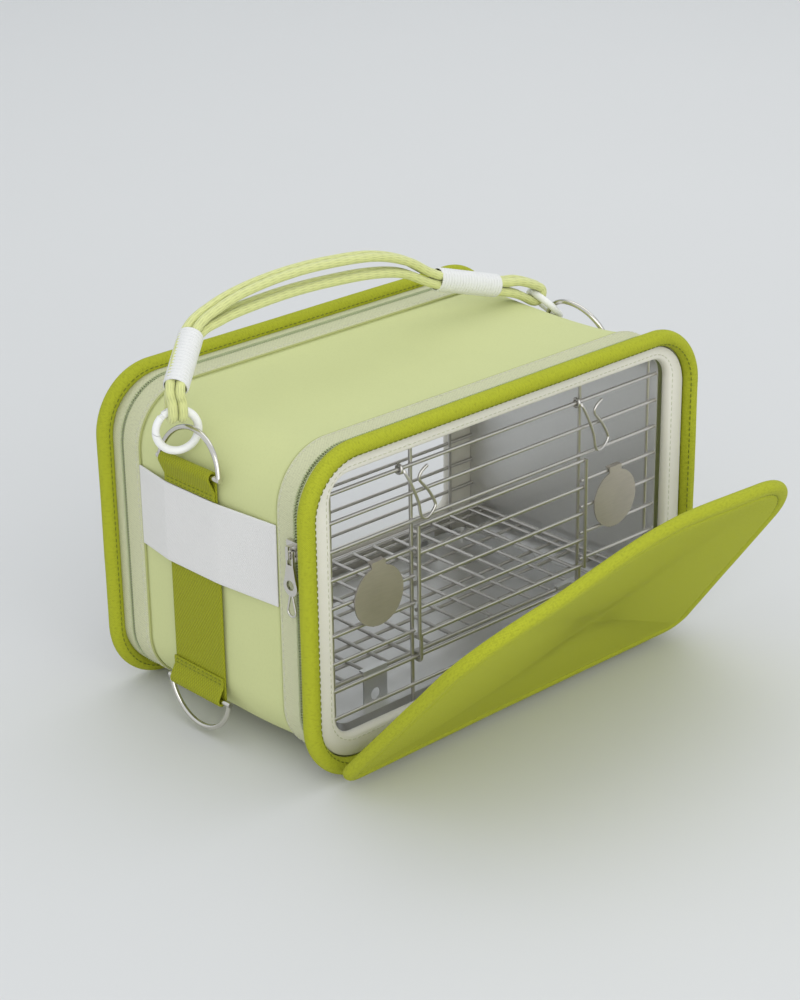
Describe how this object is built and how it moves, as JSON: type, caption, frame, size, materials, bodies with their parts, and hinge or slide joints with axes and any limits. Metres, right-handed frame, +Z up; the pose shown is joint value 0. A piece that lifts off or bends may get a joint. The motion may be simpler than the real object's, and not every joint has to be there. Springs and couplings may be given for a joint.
{
  "type": "bird travel carrier",
  "caption": "Soft-sided travel carrier for a small bird: padded body round a wire-fronted steel cage, zipped end panels, fold-down front flap and rope handle.",
  "frame": {"origin": "middle of the footprint, on the plane the padded rims stand on", "axes": "+X to the right seen from the front, +Y towards the back, +Z up"},
  "size_m": [0.2924, 0.2602, 0.2204],
  "materials": {
    "lime_fabric": "woven polyester over foam, matt",
    "pale_fabric": "woven polyester over foam, matt",
    "cream_fabric": "woven polyester over thin foam, matt",
    "zip_tape": "woven tape with a nylon coil",
    "green_webbing": "flat woven webbing",
    "white_webbing": "flat woven webbing",
    "rope": "braided cord",
    "whipping": "thin cord wound tight",
    "ring_plastic": "moulded, smooth",
    "nickel": "nickel plated, lightly worn",
    "wire_steel": "drawn stainless wire, bright",
    "sheet_steel": "stainless sheet, fine brushing"
  },
  "bodies": {
    "carrier": {"body_shell": "pale_fabric", "front_body_tape": "zip_tape", "back_body_tape": "zip_tape", "left_strap": "green_webbing", "right_strap": "green_webbing", "left_band": "white_webbing", "right_band": "white_webbing", "cage_sleeve": "sheet_steel", "front_grille": "wire_steel", "back_grille": "wire_steel", "left_disc": "sheet_steel", "right_disc": "sheet_steel", "floor_grating": "wire_steel", "grating_legs": "sheet_steel", "floor_tray": "sheet_steel"},
    "front_panel": {"front_rim": "lime_fabric", "front_window_frame": "cream_fabric", "front_panel_tape": "zip_tape"},
    "back_panel": {"back_rim": "lime_fabric", "back_window_frame": "cream_fabric", "back_panel_tape": "zip_tape"},
    "flap": {"front_flap": "lime_fabric"},
    "front_slider": {"front_zip_slider": "nickel"},
    "front_pull": {"front_zip_pull": "nickel"},
    "back_slider": {"back_zip_slider": "nickel"},
    "back_pull": {"back_zip_pull": "nickel"},
    "door": {"cage_door": "wire_steel"},
    "left_clip": {"left_door_clip": "wire_steel"},
    "right_clip": {"right_door_clip": "wire_steel"},
    "left_top_ring": {"left_top_d_ring": "nickel"},
    "right_top_ring": {"right_top_d_ring": "nickel"},
    "left_low_ring": {"left_low_d_ring": "nickel"},
    "right_low_ring": {"right_low_d_ring": "nickel"},
    "handle": {"handle_rope": "rope", "left_whipping": "whipping", "right_whipping": "whipping", "left_carry_ring": "ring_plastic", "right_carry_ring": "ring_plastic"},
    "left_gate": {"left_ring_gate": "ring_plastic"},
    "right_gate": {"right_ring_gate": "ring_plastic"}
  },
  "joints": [
    {"name": "front_panel_hinge", "type": "hinge", "parent": "carrier", "child": "front_panel", "pos_m": [0, -0.0668, 0.0055], "axis": [1, 0, 0], "range_deg": [0, 90]},
    {"name": "back_panel_hinge", "type": "hinge", "parent": "carrier", "child": "back_panel", "pos_m": [0, 0.0668, 0.0055], "axis": [-1, 0, 0], "range_deg": [0, 90]},
    {"name": "flap_hinge", "type": "hinge", "parent": "front_panel", "child": "flap", "pos_m": [0, -0.0826, 0.0075], "axis": [1, 0, 0], "range_deg": [-36, 54]},
    {"name": "front_zip", "type": "slide", "parent": "carrier", "child": "front_slider", "axis": [0, 0, 1], "range_m": [-0.083, 0.009]},
    {"name": "back_zip", "type": "slide", "parent": "carrier", "child": "back_slider", "axis": [0, 0, 1], "range_m": [-0.083, 0.009]},
    {"name": "front_pull_swing", "type": "hinge", "parent": "front_slider", "child": "front_pull", "pos_m": [-0.13655, -0.0668, 0.125], "axis": [0, 1, 0], "range_deg": [0, 120]},
    {"name": "back_pull_swing", "type": "hinge", "parent": "back_slider", "child": "back_pull", "pos_m": [0.13655, 0.0668, 0.125], "axis": [0, -1, 0], "range_deg": [0, 120]},
    {"name": "door_hinge", "type": "hinge", "parent": "carrier", "child": "door", "pos_m": [0, -0.0696, 0.043], "axis": [1, 0, 0], "range_deg": [0, 55]},
    {"name": "left_clip_swing", "type": "hinge", "parent": "carrier", "child": "left_clip", "pos_m": [-0.068, -0.0696, 0.148], "axis": [-1, 0, 0], "range_deg": [0, 90]},
    {"name": "right_clip_swing", "type": "hinge", "parent": "carrier", "child": "right_clip", "pos_m": [0.057, -0.0696, 0.148], "axis": [-1, 0, 0], "range_deg": [0, 90]},
    {"name": "left_top_ring_swing", "type": "hinge", "parent": "carrier", "child": "left_top_ring", "pos_m": [-0.13795, 0.0062, 0.1465], "axis": [0, 1, 0], "range_deg": [-26, 0]},
    {"name": "right_top_ring_swing", "type": "hinge", "parent": "carrier", "child": "right_top_ring", "pos_m": [0.13795, 0.0062, 0.1465], "axis": [0, -1, 0], "range_deg": [-4, 0]},
    {"name": "left_low_ring_swing", "type": "hinge", "parent": "carrier", "child": "left_low_ring", "pos_m": [-0.13795, 0.0062, 0.025], "axis": [0, 1, 0], "range_deg": [-10, 150]},
    {"name": "right_low_ring_swing", "type": "hinge", "parent": "carrier", "child": "right_low_ring", "pos_m": [0.13795, 0.0062, 0.025], "axis": [0, -1, 0], "range_deg": [-10, 150]},
    {"name": "handle_swing", "type": "hinge", "parent": "carrier", "child": "handle", "pos_m": [-0.0015, 0.0131, 0.16435], "axis": [0.9994, 0.0323, -0.0147], "range_deg": [0, 18]},
    {"name": "left_gate_swing", "type": "hinge", "parent": "handle", "child": "left_gate", "pos_m": [-0.14359, 0.01537, 0.17349], "axis": [-0.4226, -0.9063, 0], "range_deg": [0, 20], "stiffness_Nm_per_rad": 0.02, "springref_deg": -17.19},
    {"name": "right_gate_swing", "type": "hinge", "parent": "handle", "child": "right_gate", "pos_m": [0.12794, 0.03385, 0.16636], "axis": [-0.6797, 0.1949, -0.7071], "range_deg": [0, 20], "stiffness_Nm_per_rad": 0.02, "springref_deg": -17.19}
  ]
}
